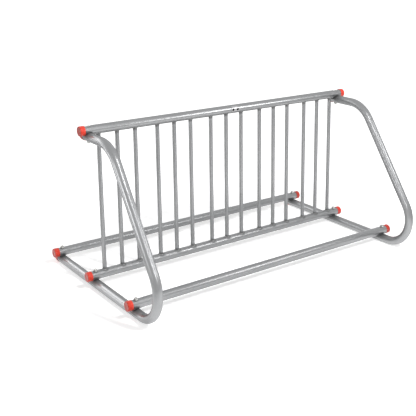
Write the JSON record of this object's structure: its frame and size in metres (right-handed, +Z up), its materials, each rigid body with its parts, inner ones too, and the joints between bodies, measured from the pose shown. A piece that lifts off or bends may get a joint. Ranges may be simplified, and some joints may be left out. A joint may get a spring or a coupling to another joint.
{
  "type": "floor bike rack",
  "caption": "Floor-standing steel tube bike rack: two bent side frames, bolted rails and an upright bar grid that holds bicycles by a wheel.",
  "frame": {"origin": "on the floor, below the centre of the rack's bounding box", "axes": "+X along the rack's length, -Y towards the big bends of the side frames, +Z up"},
  "size_m": [1.518, 0.965, 0.743],
  "materials": {
    "tubes": "silver-grey metallic powder coat, satin",
    "welds": "welded steel under the same coat, darker and rough",
    "end_caps": "bright red moulded plastic, softly glossy",
    "fasteners": "zinc-plated steel",
    "plate": "plain light grey sheet, satin",
    "rivets": "dark, satin"
  },
  "bodies": {
    "root": {"left_side_frame": "tubes", "right_side_frame": "tubes", "top_rail": "tubes", "grid_floor_rail": "tubes", "front_floor_rail": "tubes", "rear_floor_rail": "tubes", "bar_01": "tubes", "bar_02": "tubes", "bar_03": "tubes", "bar_04": "tubes", "bar_05": "tubes", "bar_06": "tubes", "bar_07": "tubes", "bar_08": "tubes", "bar_09": "tubes", "bar_10": "tubes", "bar_11": "tubes", "bar_12": "tubes", "bar_13": "tubes", "bar_14": "tubes", "bar_15": "tubes", "top_bar_welds": "welds", "floor_bar_welds": "welds", "front_left_rail_cap": "end_caps", "front_right_rail_cap": "end_caps", "grid_left_rail_cap": "end_caps", "grid_right_rail_cap": "end_caps", "rear_left_rail_cap": "end_caps", "rear_right_rail_cap": "end_caps", "top_left_rail_cap": "end_caps", "top_right_rail_cap": "end_caps", "left_frame_rear_cap": "end_caps", "right_frame_rear_cap": "end_caps", "left_frame_top_cap": "end_caps", "right_frame_top_cap": "end_caps", "front_left_bolt": "fasteners", "front_right_bolt": "fasteners", "grid_left_bolt": "fasteners", "grid_right_bolt": "fasteners", "rear_left_bolt": "fasteners", "rear_right_bolt": "fasteners", "top_left_bolt": "fasteners", "top_right_bolt": "fasteners", "front_left_nut": "fasteners", "front_right_nut": "fasteners", "grid_left_nut": "fasteners", "grid_right_nut": "fasteners", "rear_left_nut": "fasteners", "rear_right_nut": "fasteners", "top_left_nut": "fasteners", "top_right_nut": "fasteners", "blank_plate": "plate", "plate_rivets": "rivets"}
  },
  "joints": []
}
